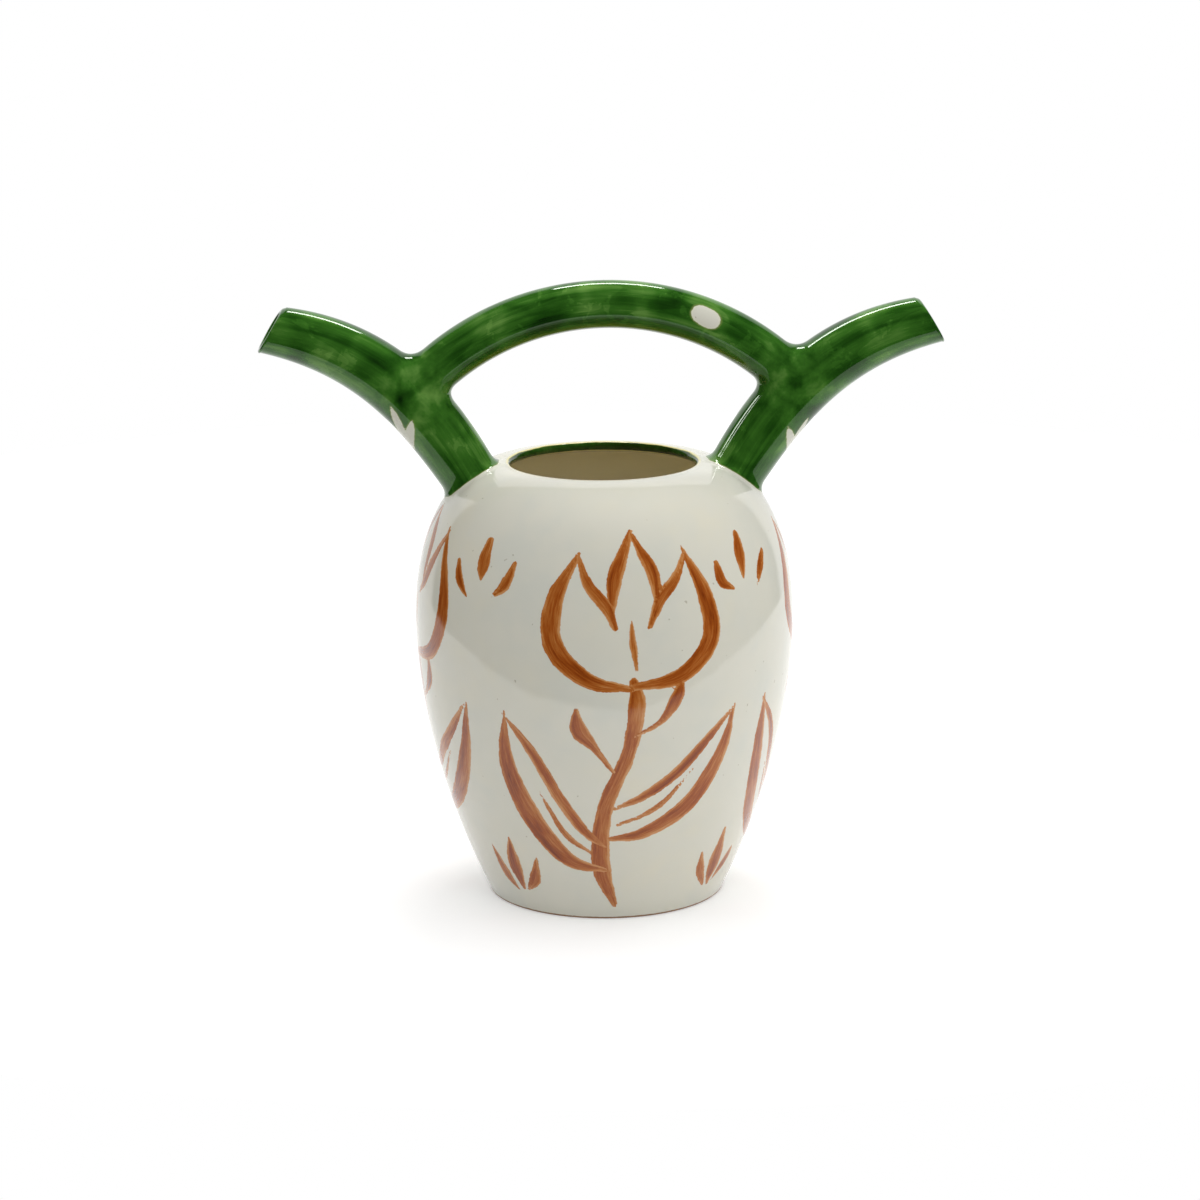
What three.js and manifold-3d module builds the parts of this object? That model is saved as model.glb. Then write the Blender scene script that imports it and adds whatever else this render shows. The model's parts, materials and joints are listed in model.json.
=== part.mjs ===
// A stoneware vase with two spouts and a bridge handle.
// Each clay piece is a mesh of its own: a turned pot, two hollow spouts that rise from its shoulder,
// a hollow handle that bridges them, and the fillets of slip that lute them together.
// Millimetres, +Z up. The origin is the centre of the foot, on the ground. The spouts lie along X.
import * as THREE from "three";
import { mergeVertices } from "three/addons/utils/BufferGeometryUtils.js";
import Module from "manifold-3d";

const wasm = await Module();
wasm.setup();

// Pot
const rimHeight = 248; // top of the lip
const bellyRadius = 106.8; // outside, where the pot is widest
const bellyHeight = 160;
const footRadius = 66.5;
const bellyTaper = 1.87; // 1 would make the lower wall a cone, more turns it in lower down
const shoulderRoundness = 2.09; // 2 would make the shoulder a quarter of an ellipse
const mouthRadius = 52; // inside of the lip
const potWall = 5.5;
const lipTurn = 62; // degrees above level at which the shoulder runs into the rounded lip
const footRounding = 1.5;
const footRingWidth = 9;
const footRecess = 2.5; // how far the underside is turned away inside the foot ring
const floorThickness = 7;
const floorRounding = 12; // inside, between the floor and the wall

// Spouts: the centre line leaves a root under the shoulder and ends in the middle of the open tip
const spoutRootReach = 64.6; // out from the pot's axis
const spoutRootDrop = 24.4; // below the rim
const spoutRootAngle = 58.8; // degrees above level
const spoutRootLength = 45; // how far the curve keeps that angle
const spoutTipReach = 184.8;
const spoutTipRise = 77; // above the rim
const spoutTipAngle = 9.6;
const spoutTipLength = 71.5;
const spoutRootRadius = 15.2;
const spoutMiddleRadius = 17.4;
const spoutTipRadius = 13.5;
const spoutWall = 4;
const tipSlant = 21; // degrees by which the tip's cut leans back from square
const tipSlantLength = 34; // length of tube over which its rings turn to that slant

// Bridge handle
const bridgeRise = 102; // from the rim to the highest point of the vase
const bridgeRadius = 13.4;
const bridgeBend = 145; // radius of the arch, along the middle of the tube
const bridgeShift = 2.2; // the hand-set arch stands this much to the right of the pot's axis
const bridgeWall = 4;
const ventRadius = 5; // hole that lets the hollow handle breathe into each spout

// Luting
const footSeamLeg = 6.5; // how far the slip fillet climbs the spout and spreads on the shoulder
const forkSeamLeg = 7.5; // the same, between the handle and a spout
const seamEdge = 0.8; // height at which a fillet's edge stands off the skin below it
const jointGap = 0.3; // between two pieces that are luted together

// Fineness
const potSides = 56;
const spoutSides = 24;
const bridgeSides = 22;
const seamSections = 24;
const seamSteps = 4;
const lipOutsideSteps = 2;
const lipInsideSteps = 3;
const footSteps = 2;
const wallSteps = 6;
const shoulderSteps = 8;
const floorSteps = 3;
const tipSteps = 4;
const pathSteps = 80; // along a spout's centre line, to find the nearest place on it
const crossingSteps = 40; // each halves the doubt about where two surfaces cross
const tubeStep = 13; // length of tube between two rings

const whiteGlaze = new THREE.MeshStandardMaterial({ color: 0xdedccd, roughness: 0.16, metalness: 0 });
const greenGlaze = new THREE.MeshStandardMaterial({ color: 0x2b6a20, roughness: 0.14, metalness: 0 });

const radians = THREE.MathUtils.degToRad;

function point(x, y) {
  return new THREE.Vector2(x, y);
}

// count + 1 values of a function of 0 to 1
function steps(count, value) {
  return Array.from({ length: count + 1 }, (_, i) => value(i / count));
}

// A step of some length, at an angle in degrees
function stride(angle, length) {
  return point(length * Math.cos(radians(angle)), length * Math.sin(radians(angle)));
}

// Points on an arc, from one angle to another
function arc(centre, radius, from, to, count) {
  return steps(count, (share) => stride(from + (to - from) * share, radius).add(centre));
}

// Where a function that is negative at low and positive at high crosses zero
function crossing(low, high, value) {
  for (let i = 0; i < crossingSteps; i++) {
    const middle = (low + high) / 2;
    if (value(middle) < 0) low = middle;
    else high = middle;
  }
  return (low + high) / 2;
}

// An outline moved sideways: a positive distance goes to the right of its direction
function offset(outline, distance) {
  return outline.map((here, i) => {
    const before = outline[Math.max(i - 1, 0)];
    const after = outline[Math.min(i + 1, outline.length - 1)];
    const heading = after.clone().sub(before).normalize();
    return point(here.x + heading.y * distance, here.y - heading.x * distance);
  });
}

// Lengths along a tube at which it has a ring: evenly from its start, and one at its end
function ringsTo(end) {
  const count = Math.ceil(end / tubeStep);
  return steps(count, (share) => Math.min(share * count * tubeStep, end));
}

// Solids

function solidOf(geometry) {
  const bare = geometry.clone();
  bare.deleteAttribute("normal");
  bare.deleteAttribute("uv");
  const merged = mergeVertices(bare, 1e-4);
  const vertProperties = merged.attributes.position.array;
  const triVerts = new Uint32Array(merged.index.array);
  return new wasm.Manifold(new wasm.Mesh({ numProp: 3, vertProperties, triVerts }));
}

function meshOf(name, solid, material) {
  const made = solid.getMesh();
  const geometry = new THREE.BufferGeometry();
  geometry.setAttribute("position", new THREE.BufferAttribute(made.vertProperties, 3));
  geometry.setIndex(new THREE.BufferAttribute(made.triVerts, 1));
  geometry.computeVertexNormals();
  const mesh = new THREE.Mesh(geometry, material);
  mesh.name = name;
  return mesh;
}

// The same shape on the other side of the pot
function mirrored(geometry) {
  const copy = geometry.clone().scale(-1, 1, 1);
  const order = copy.index.array;
  for (let i = 0; i < order.length; i += 3) {
    const first = order[i];
    order[i] = order[i + 1];
    order[i + 1] = first;
  }
  return copy;
}

// A shape turned on the wheel, from an outline of (radius, height) points
function turned(outline) {
  return new THREE.LatheGeometry(outline, potSides).rotateX(Math.PI / 2);
}

// A tube or rod turned from an outline of (radius, length along it) points, then bent along a line.
// slantAt gives how far a ring leans back at a length: the tangent of its angle.
function bent(outline, sides, line, slantAt = () => 0) {
  const geometry = new THREE.LatheGeometry(outline, sides);
  const position = geometry.attributes.position;
  for (let i = 0; i < position.count; i++) {
    const up = position.getX(i);
    const length = position.getY(i) - up * slantAt(position.getY(i));
    const { place, heading } = line.at(length);
    position.setXYZ(i, place.x - heading.y * up, position.getZ(i), place.y + heading.x * up);
  }
  return geometry;
}

// A centre line in the plane of the spouts, measured by length and running straight on past its ends
function lineAlong(curve) {
  const length = curve.getLength();
  const at = (distance) => {
    const share = THREE.MathUtils.clamp(distance / length, 0, 1);
    const heading = curve.getTangentAt(share);
    const place = curve.getPointAt(share).addScaledVector(heading, distance - share * length);
    return { place, heading };
  };
  return { at, length };
}

// The pot's outline, from the foot ring to the inside of the lip

const lipCentre = point(mouthRadius + potWall / 2, rimHeight - potWall / 2);
const lipOutside = arc(lipCentre, potWall / 2, lipTurn, 90, lipOutsideSteps);
const lipInside = arc(lipCentre, potWall / 2, 90, 180, lipInsideSteps);
const lipStart = lipOutside[0];

function lowerWallRadius(height) {
  const share = (bellyHeight - height) / bellyHeight;
  return bellyRadius - (bellyRadius - footRadius) * share ** bellyTaper;
}

const footEdgeCentre = point(lowerWallRadius(footRounding) - footRounding, footRounding);
const footEdge = arc(footEdgeCentre, footRounding, -90, 0, footSteps);
const lowerWall = steps(wallSteps, (share) => {
  const height = footRounding + (bellyHeight - footRounding) * share;
  return point(lowerWallRadius(height), height);
});
const shoulder = steps(shoulderSteps, (share) => {
  const angle = (share * Math.PI) / 2;
  const across = Math.cos(angle) ** (2 / shoulderRoundness);
  const rise = Math.sin(angle) ** (2 / shoulderRoundness);
  const radius = lipStart.x + (bellyRadius - lipStart.x) * across;
  return point(radius, bellyHeight + (lipStart.y - bellyHeight) * rise);
});
const wall = [...lowerWall, ...shoulder.slice(1, -1)];
const outsideToCrest = [...footEdge.slice(0, -1), ...wall, ...lipOutside];
const outside = [...outsideToCrest, ...lipInside.slice(1)];

// Inside: the wall's thickness in from the outside, down to a rounded floor
const floorHeight = footRecess + floorThickness;
const innerWall = offset(wall, -potWall).reverse();
const floorEdgeHeight = floorHeight + floorRounding;
const innerWallDown = innerWall.filter((spot) => spot.y > floorEdgeHeight);
const floorEdgeRadius = lowerWallRadius(floorEdgeHeight) - potWall;
const floorEdgeCentre = point(floorEdgeRadius - floorRounding, floorEdgeHeight);
const floorEdge = arc(floorEdgeCentre, floorRounding, 0, -90, floorSteps);

const ringInside = footRadius - footRounding - footRingWidth;
const underside = [point(0, footRecess), point(ringInside, footRecess), point(ringInside + footRecess, 0)];
const potOutline = [...underside, ...outside, ...innerWallDown, ...floorEdge, point(0, floorHeight)];
const potShell = solidOf(turned(potOutline));

// Everything within the pot's outside and the joint gap, to cope what stands on the shoulder
const potReach = offset(outside, jointGap);
const potFilled = solidOf(turned([point(0, potReach[0].y), ...potReach, point(0, potReach.at(-1).y)]));

// Skins: how far a point lies outside a surface, the nearest point of that surface and its direction out

function nearestOn(outline, x, y) {
  const target = point(x, y);
  let best = { distance: Infinity };
  for (let i = 1; i < outline.length; i++) {
    const run = outline[i].clone().sub(outline[i - 1]);
    const share = THREE.MathUtils.clamp(target.clone().sub(outline[i - 1]).dot(run) / run.lengthSq(), 0, 1);
    const foot = outline[i - 1].clone().addScaledVector(run, share);
    const distance = foot.distanceTo(target);
    if (distance < best.distance) best = { distance, foot, run: run.normalize(), share, part: i - 1 };
  }
  return best;
}

// The pot's skin ends at the crest of the lip, so that no slip runs over it into the mouth
const potSkin = (spot) => {
  const radius = Math.hypot(spot.x, spot.y);
  const { foot, run } = nearestOn(outsideToCrest, radius, spot.z);
  const round = point(spot.x / radius, spot.y / radius);
  const out = new THREE.Vector3(round.x * run.y, round.y * run.y, -run.x);
  const nearest = new THREE.Vector3(round.x * foot.x, round.y * foot.x, foot.y);
  return { gap: spot.clone().sub(nearest).dot(out), nearest, out };
};

// Spout: one centre line and radius serve the tube, its bore, its seams and what is cut to fit it

const spoutRoot = point(spoutRootReach, rimHeight - spoutRootDrop);
const spoutTip = point(spoutTipReach, rimHeight + spoutTipRise);
const spoutCurve = new THREE.CubicBezierCurve(
  spoutRoot,
  spoutRoot.clone().add(stride(spoutRootAngle, spoutRootLength)),
  spoutTip.clone().sub(stride(spoutTipAngle, spoutTipLength)),
  spoutTip,
);
const spoutLine = lineAlong(spoutCurve);

function spoutRadius(length) {
  const share = length / spoutLine.length;
  const root = spoutRootRadius * (1 - share) * (1 - 2 * share);
  const middle = spoutMiddleRadius * 4 * share * (1 - share);
  const tip = spoutTipRadius * share * (2 * share - 1);
  return root + middle + tip;
}

const tipSlantAt = (length) => {
  const turn = THREE.MathUtils.smoothstep(length, spoutLine.length - tipSlantLength, spoutLine.length);
  return Math.tan(radians(tipSlant)) * turn;
};

// The side of the spout's tube, offset by a growth, up to a length
function spoutSide(growth, end) {
  return ringsTo(end).map((length) => point(spoutRadius(length) + growth, length));
}

function spoutTube() {
  const lipSize = spoutWall / 2;
  const end = spoutLine.length - lipSize;
  const outer = spoutSide(0, end);
  const tipLip = arc(point(spoutRadius(end) - lipSize, end), lipSize, 0, 180, tipSteps).slice(1, -1);
  const inner = spoutSide(-spoutWall, end).reverse();
  return bent([...outer, ...tipLip, ...inner, outer[0]], spoutSides, spoutLine, tipSlantAt);
}

// A solid rod along the spout, as wide as its outside plus a growth
function spoutRod(growth, end) {
  const side = spoutSide(growth, end);
  return bent([point(0, 0), ...side, point(0, end)], spoutSides, spoutLine, tipSlantAt);
}

const spoutPath = steps(pathSteps, (share) => spoutLine.at(share * spoutLine.length).place);
const spoutSkin = (spot) => {
  const { foot, part, share } = nearestOn(spoutPath, spot.x, spot.z);
  const core = new THREE.Vector3(foot.x, 0, foot.y);
  const out = spot.clone().sub(core).normalize();
  const radius = spoutRadius(((part + share) / (spoutPath.length - 1)) * spoutLine.length);
  const nearest = core.clone().addScaledVector(out, radius);
  return { gap: spot.clone().sub(nearest).dot(out), nearest, out };
};

// Bridge: an arc that ends where it crosses each spout's centre line

const bridgeCentreHeight = rimHeight + bridgeRise - bridgeRadius - bridgeBend;

// The arc's angle from upright at the spout of one side, whose frame is mirrored for the left
function forkAngle(side) {
  const centre = point(side * bridgeShift, bridgeCentreHeight);
  const outsideArc = (length) => spoutLine.at(length).place.distanceTo(centre) - bridgeBend;
  const meeting = crossing(0, spoutLine.length, outsideArc);
  const fork = spoutLine.at(meeting).place.sub(centre);
  return Math.atan2(fork.x, fork.y);
}

// The arc from the fork of one side, over the pot and down to the other
function bridgeLine(side) {
  const upright = Math.PI / 2;
  const from = upright - forkAngle(side);
  const to = upright + forkAngle(-side);
  const centreX = side * bridgeShift;
  return lineAlong(new THREE.EllipseCurve(centreX, bridgeCentreHeight, bridgeBend, bridgeBend, from, to));
}

function bridgeSide(line, radius) {
  return ringsTo(line.length).map((length) => point(radius, length));
}

function bridgeTube(line) {
  const outer = bridgeSide(line, bridgeRadius);
  const inner = bridgeSide(line, bridgeRadius - bridgeWall).reverse();
  return bent([...outer, ...inner, outer[0]], bridgeSides, line);
}

function bridgeRod(line, radius) {
  return bent([point(0, 0), ...bridgeSide(line, radius), point(0, line.length)], bridgeSides, line);
}

// Seams: at each section round a tube, a curve leaves the tube's skin and runs out onto the host's skin.
// The ring of sections reaches under both skins, and is cut back to them afterwards.

function seamRing(line, radiusAt, hostSkin, leg) {
  const skinAt = (angle, length, lift) => {
    const { place, heading } = line.at(length);
    const reach = radiusAt(length) + lift;
    const up = Math.cos(angle) * reach;
    return new THREE.Vector3(place.x - heading.y * up, Math.sin(angle) * reach, place.y + heading.x * up);
  };
  const under = -spoutWall / 2;
  const sections = [];
  for (let i = 0; i < seamSections; i++) {
    const angle = (i / seamSections) * 2 * Math.PI;
    const length = crossing(0, line.length / 2, (along) => hostSkin(skinAt(angle, along, 0)).gap);
    const corner = skinAt(angle, length, 0);
    const tubeOut = skinAt(angle, length, 1).sub(corner);
    const hostOut = hostSkin(corner).out;
    const spread = tubeOut.clone().addScaledVector(hostOut, -tubeOut.dot(hostOut)).normalize();
    const landing = hostSkin(corner.clone().addScaledVector(spread, leg));
    const top = skinAt(angle, length + leg, seamEdge);
    const control = corner.clone().addScaledVector(tubeOut, seamEdge).addScaledVector(hostOut, seamEdge);
    const bottom = landing.nearest.clone().addScaledVector(landing.out, seamEdge);
    const fillet = new THREE.QuadraticBezierCurve3(top, control, bottom).getPoints(seamSteps);
    const underHost = landing.nearest.clone().addScaledVector(landing.out, under);
    const buried = corner.clone().addScaledVector(tubeOut, under).addScaledVector(hostOut, under);
    const underTube = skinAt(angle, length + leg, under);
    sections.push([...fillet, underHost, buried, underTube]);
  }
  const size = sections[0].length;
  const order = [];
  for (let i = 0; i < seamSections; i++) {
    for (let j = 0; j < size; j++) {
      const here = i * size + j;
      const up = i * size + ((j + 1) % size);
      const next = ((i + 1) % seamSections) * size + j;
      const nextUp = ((i + 1) % seamSections) * size + ((j + 1) % size);
      order.push(here, next, up, up, next, nextUp);
    }
  }
  return new THREE.BufferGeometry().setFromPoints(sections.flat()).setIndex(order);
}

// Assembly

const vase = new THREE.Group();

const sides = [
  { name: "left", side: -1 },
  { name: "right", side: 1 },
];
const onSide = (geometry, side) => solidOf(side < 0 ? mirrored(geometry) : geometry);

let pot = potShell;
let bridge = solidOf(bridgeTube(bridgeLine(1)));
const vent = solidOf(bridgeRod(bridgeLine(1), ventRadius));

for (const { name, side } of sides) {
  const tube = onSide(spoutTube(), side);
  const filled = onSide(spoutRod(jointGap, spoutLine.length), side);
  const bore = onSide(spoutRod(-spoutWall, spoutLine.length), side);
  const line = bridgeLine(side);
  const bridgeFilled = onSide(bridgeRod(line, bridgeRadius + jointGap), side);

  const footRing = onSide(seamRing(spoutLine, spoutRadius, potSkin, footSeamLeg), side);
  const forkRing = onSide(seamRing(line, () => bridgeRadius, spoutSkin, forkSeamLeg), side);

  pot = pot.subtract(bore);
  bridge = bridge.subtract(filled);
  const spout = tube.subtract(potFilled).subtract(vent);
  const footSeam = footRing.subtract(potFilled).subtract(filled);
  const forkSeam = forkRing.subtract(filled).subtract(bridgeFilled);

  vase.add(meshOf(`${name}_spout`, spout, greenGlaze));
  vase.add(meshOf(`${name}_foot_seam`, footSeam, greenGlaze));
  vase.add(meshOf(`${name}_fork_seam`, forkSeam, greenGlaze));
}

vase.add(meshOf("pot_body", pot, whiteGlaze));
vase.add(meshOf("bridge_handle", bridge, greenGlaze));

export default vase;
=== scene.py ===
import json
import math

import bpy
import numpy as np
from mathutils import Matrix, Vector

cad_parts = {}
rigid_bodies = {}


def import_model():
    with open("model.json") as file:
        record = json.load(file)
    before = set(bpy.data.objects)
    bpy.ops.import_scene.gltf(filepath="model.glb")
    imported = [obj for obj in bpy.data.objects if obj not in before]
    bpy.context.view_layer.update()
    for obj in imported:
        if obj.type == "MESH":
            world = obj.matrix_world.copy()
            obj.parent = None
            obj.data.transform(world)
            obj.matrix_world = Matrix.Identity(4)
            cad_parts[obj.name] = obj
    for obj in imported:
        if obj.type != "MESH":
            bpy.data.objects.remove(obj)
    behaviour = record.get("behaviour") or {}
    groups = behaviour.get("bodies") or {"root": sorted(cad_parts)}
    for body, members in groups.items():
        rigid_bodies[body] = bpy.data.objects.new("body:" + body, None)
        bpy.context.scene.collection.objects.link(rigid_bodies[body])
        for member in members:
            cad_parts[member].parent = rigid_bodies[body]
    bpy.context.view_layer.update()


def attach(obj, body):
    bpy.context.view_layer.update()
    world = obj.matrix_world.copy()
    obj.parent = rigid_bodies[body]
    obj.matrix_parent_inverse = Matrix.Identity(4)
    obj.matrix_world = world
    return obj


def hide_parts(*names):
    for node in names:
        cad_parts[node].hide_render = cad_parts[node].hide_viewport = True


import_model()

mm = 0.001

# Everything is drawn in millimetres and placed in metres. The spouts lie along X and the front looks to -Y.

# Lines, arcs and skins that the pieces below are drawn with.


def arcOf(centre, radius, start, end, count):
    angles = np.radians(np.linspace(start, end, count + 1))
    return np.column_stack([centre[0] + radius * np.cos(angles), centre[1] + radius * np.sin(angles)])


def strideOf(angle, length):
    return np.array([math.cos(math.radians(angle)), math.sin(math.radians(angle))]) * length


def bezierOf(points, shares):
    t = np.asarray(shares)[..., None]
    if len(points) == 3:
        a, b, c = points
        return a * (1 - t) ** 2 + b * 2 * t * (1 - t) + c * t**2
    a, b, c, d = points
    return a * (1 - t) ** 3 + b * 3 * t * (1 - t) ** 2 + c * 3 * t**2 * (1 - t) + d * t**3


def measured(points):
    # a centre line with the length reached at each of its points, and the way it heads there
    lengths = np.concatenate([[0], np.cumsum(np.linalg.norm(np.diff(points, axis=0), axis=1))])
    headings = np.gradient(points, lengths, axis=0)
    headings /= np.linalg.norm(headings, axis=1, keepdims=True)
    return {"points": points, "lengths": lengths, "headings": headings, "length": lengths[-1]}


def follow(line, lengths):
    # places and headings at some lengths; past its ends the line runs straight on
    held = np.clip(lengths, 0, line["length"])
    at = [np.interp(held, line["lengths"], line["points"][:, k]) for k in (0, 1)]
    way = [np.interp(held, line["lengths"], line["headings"][:, k]) for k in (0, 1)]
    past = lengths - held
    return at[0] + way[0] * past, at[1] + way[1] * past, way[0], way[1]


def tubeSkin(line, radiusAt, angles, lengths, lift=0.0):
    # points on a tube's skin: angle 0 is its upper side, a quarter turn is its back
    x, z, headX, headZ = follow(line, lengths)
    reach = radiusAt(lengths) + lift
    up = np.cos(angles) * reach
    return np.stack([x - headZ * up, np.sin(angles) * reach, z + headX * up], -1)


def nearestOn(outline, spots):
    # the nearest place on an outline to each spot, the outline's heading there, and the length reached
    runs = np.diff(outline, axis=0)
    sizes = np.linalg.norm(runs, axis=1)
    away = spots[:, None] - outline[None, :-1]
    share = np.clip((away * runs).sum(-1) / sizes**2, 0, 1)
    places = outline[None, :-1] + share[..., None] * runs
    best = np.linalg.norm(spots[:, None] - places, axis=-1).argmin(1)
    row = np.arange(len(spots))
    reached = np.concatenate([[0], np.cumsum(sizes)])[best] + share[row, best] * sizes[best]
    return places[row, best], (runs / sizes[:, None])[best], reached


def unit(vectors):
    return vectors / np.linalg.norm(vectors, axis=-1, keepdims=True)


# The pot, turned from one outline.
pot = {
    "rim": 248, "belly": 106.8, "bellyHeight": 160, "foot": 66.5,
    "taper": 1.87, "shoulder": 2.09,  # how full the wall is below and above the belly
    "mouth": 52, "wall": 5.5,
    "lipTurn": 62,  # where the lip's roll takes over from the shoulder, in degrees
    "throatTop": 6.6, "throatEnd": 8,  # how far under the rim the lip's inside turns into the wall
    "footEdge": 1.5, "footRing": 9, "footHollow": 2.5, "floor": 7, "floorEdge": 12,
    "turns": 360,
    "outsideRows": (92, 62), "insideRows": (36, 34),  # below and above the belly
    "lipRows": (6, 12), "throatRows": 8, "footRows": 6, "floorRows": 8,
}
lipCentre = (pot["mouth"] + pot["wall"] / 2, pot["rim"] - pot["wall"] / 2)
lipOutside = arcOf(lipCentre, pot["wall"] / 2, pot["lipTurn"], 90, pot["lipRows"][0])
lipInside = arcOf(lipCentre, pot["wall"] / 2, 90, 180, pot["lipRows"][1])
lipStart = lipOutside[0]


def lowerRadius(height):
    share = (pot["bellyHeight"] - height) / pot["bellyHeight"]
    return pot["belly"] - (pot["belly"] - pot["foot"]) * share ** pot["taper"]


def wallOutline(below, above):
    # the outside from the foot's edge to the lip, in rows below and above the belly
    heights = np.linspace(pot["footEdge"], pot["bellyHeight"], below + 1)
    lower = np.column_stack([lowerRadius(heights), heights])
    angles = np.linspace(0, math.pi / 2, above + 1)[1:-1]
    across = np.cos(angles) ** (2 / pot["shoulder"])
    rise = np.sin(angles) ** (2 / pot["shoulder"])
    radii = lipStart[0] + (pot["belly"] - lipStart[0]) * across
    upper = np.column_stack([radii, pot["bellyHeight"] + (lipStart[1] - pot["bellyHeight"]) * rise])
    return np.vstack([lower, upper])


outsideToCrest = np.vstack([wallOutline(*pot["outsideRows"]), lipOutside])
outside = np.vstack([outsideToCrest, lipInside[1:]])


def potOutline():
    edgeCentre = (lowerRadius(pot["footEdge"]) - pot["footEdge"], pot["footEdge"])
    ringInside = pot["foot"] - pot["footEdge"] - pot["footRing"]
    hollow = pot["footHollow"]
    # under the foot: the recess, its sloped side and the flat ring
    under = np.array([
        [0, hollow], [ringInside * 0.4, hollow], [ringInside * 0.8, hollow],
        [ringInside - 0.4, hollow], [ringInside + 0.5, hollow * 0.85],
        [ringInside + hollow - 0.4, 0.15], [ringInside + hollow + 0.3, 0],
        [edgeCentre[0] - 0.6, 0],
    ])
    foot = arcOf(edgeCentre, pot["footEdge"], -90, 0, pot["footRows"])[:-1]
    wall = wallOutline(*pot["insideRows"])
    headings = unit(np.gradient(wall, axis=0))
    inner = (wall + np.column_stack([-headings[:, 1], headings[:, 0]]) * pot["wall"])[::-1]
    floorHeight = hollow + pot["floor"]
    edgeHeight = floorHeight + pot["floorEdge"]
    inner = inner[(inner[:, 1] > edgeHeight) & (inner[:, 1] < pot["rim"] - pot["throatEnd"])]
    throatBend = np.array([pot["mouth"], pot["rim"] - pot["throatTop"]])
    shares = np.linspace(0, 1, pot["throatRows"] + 1)[1:-1]
    throat = bezierOf([lipInside[-1], throatBend, inner[0]], shares)
    edgeRadius = lowerRadius(edgeHeight) - pot["wall"] - pot["floorEdge"]
    floorEdge = arcOf((edgeRadius, edgeHeight), pot["floorEdge"], 0, -90, pot["floorRows"])
    floor = np.array([[edgeRadius * share, floorHeight] for share in (0.66, 0.33, 0)])
    return np.vstack([under, foot, outside, throat, inner, floorEdge, floor])


def potSkin(spots):
    # the nearest points of the pot's outside, the way out there, and how far the spots stand off
    radius = np.hypot(spots[:, 0], spots[:, 1])
    place, run, _ = nearestOn(outsideToCrest, np.column_stack([radius, spots[:, 2]]))
    roundX, roundY = spots[:, 0] / radius, spots[:, 1] / radius
    nearest = np.column_stack([roundX * place[:, 0], roundY * place[:, 0], place[:, 1]])
    out = np.column_stack([roundX * run[:, 1], roundY * run[:, 1], -run[:, 0]])
    return nearest, out, ((spots - nearest) * out).sum(1)


# The spouts and the bridge, along their centre lines. Heights are given from the rim.
spout = {
    "rootReach": 64.6, "rootDrop": 24.4, "rootAngle": 58.8, "rootPull": 45,
    "tipReach": 184.8, "tipRise": 77, "tipAngle": 9.6, "tipPull": 71.5,
    "rootRadius": 15.2, "middleRadius": 17.4, "tipRadius": 13.5, "wall": 4,
    "slant": 21, "slantLength": 34,  # how far the tip leans from square, in degrees, and from where on
    "fillet": 6.5,
    "lipClimb": 0.3, "lipDepth": 1.6,  # what a lip's row adds to the climb, and the lip to the bore's depth
    "around": 120, "filletRows": 12, "rows": 96, "lipRows": 10, "boreRows": 56,
}
bridge = {
    "rise": 102, "radius": 13.4, "bend": 145, "shift": 2.2, "wall": 4,
    "fillet": 7.5, "notchFillet": 8.6, "sideFillet": 12.5,
    "blendStart": 3, "blend": 20,  # how far from a joint its dabs begin to fade, and over what length
    "around": 108, "filletRows": 14, "rows": 120, "boreRows": 50,
}
slip = {
    "wave": 0.05, "ripple": 0.03,  # unevenness of a fillet's size
    "overlap": 1.4, "sink": 0.4, "edgeClimb": -1.5,  # its edge runs on over the host and dips into it
    "curve": 1.62,  # length of its curve for each mm of its size
}
lineRows = 500
halvings = 32  # steps in which a meeting is closed in on

spoutRoot = np.array([spout["rootReach"], pot["rim"] - spout["rootDrop"]])
spoutTip = np.array([spout["tipReach"], pot["rim"] + spout["tipRise"]])
spoutLine = measured(bezierOf([
    spoutRoot,
    spoutRoot + strideOf(spout["rootAngle"], spout["rootPull"]),
    spoutTip - strideOf(spout["tipAngle"], spout["tipPull"]),
    spoutTip,
], np.linspace(0, 1, lineRows)))


def spoutRadius(lengths):
    # one curve through the radii at the root, the middle and the tip
    share = lengths / spoutLine["length"]
    root = spout["rootRadius"] * (1 - share) * (1 - 2 * share)
    middle = spout["middleRadius"] * 4 * share * (1 - share)
    return root + middle + spout["tipRadius"] * share * (2 * share - 1)


def boreRadius(lengths):
    return spoutRadius(lengths) - spout["wall"]


def slanted(angles, lengths, radii):
    # the tip's rings lean back from square
    share = np.clip((lengths - spoutLine["length"] + spout["slantLength"]) / spout["slantLength"], 0, 1)
    lean = math.tan(math.radians(spout["slant"])) * share**2 * (3 - 2 * share)
    return lengths - np.cos(angles) * radii * lean


def spoutSkin(side):
    path = spoutLine["points"][::4]

    def skin(spots):
        place, _, reached = nearestOn(path, np.column_stack([spots[:, 0] * side, spots[:, 2]]))
        core = np.column_stack([place[:, 0] * side, np.zeros(len(spots)), place[:, 1]])
        out = unit(spots - core)
        nearest = core + out * spoutRadius(reached)[:, None]
        return nearest, out, ((spots - nearest) * out).sum(1)

    return skin


def forkAngle(side, centreHeight):
    # where the arch crosses a spout's centre line, in degrees from upright
    away = spoutLine["points"] - np.array([side * bridge["shift"], centreHeight])
    crossing = np.abs(np.linalg.norm(away, axis=1) - bridge["bend"]).argmin()
    return math.degrees(math.atan2(*away[crossing]))


archHeight = pot["rim"] + bridge["rise"] - bridge["radius"] - bridge["bend"]
bridgeLine = measured(arcOf(
    (bridge["shift"], archHeight), bridge["bend"],
    90 + forkAngle(-1, archHeight), 90 - forkAngle(1, archHeight), lineRows,
))
print("lines: spout", round(spoutLine["length"], 1), "mm, bridge", round(bridgeLine["length"], 1), "mm")


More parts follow.
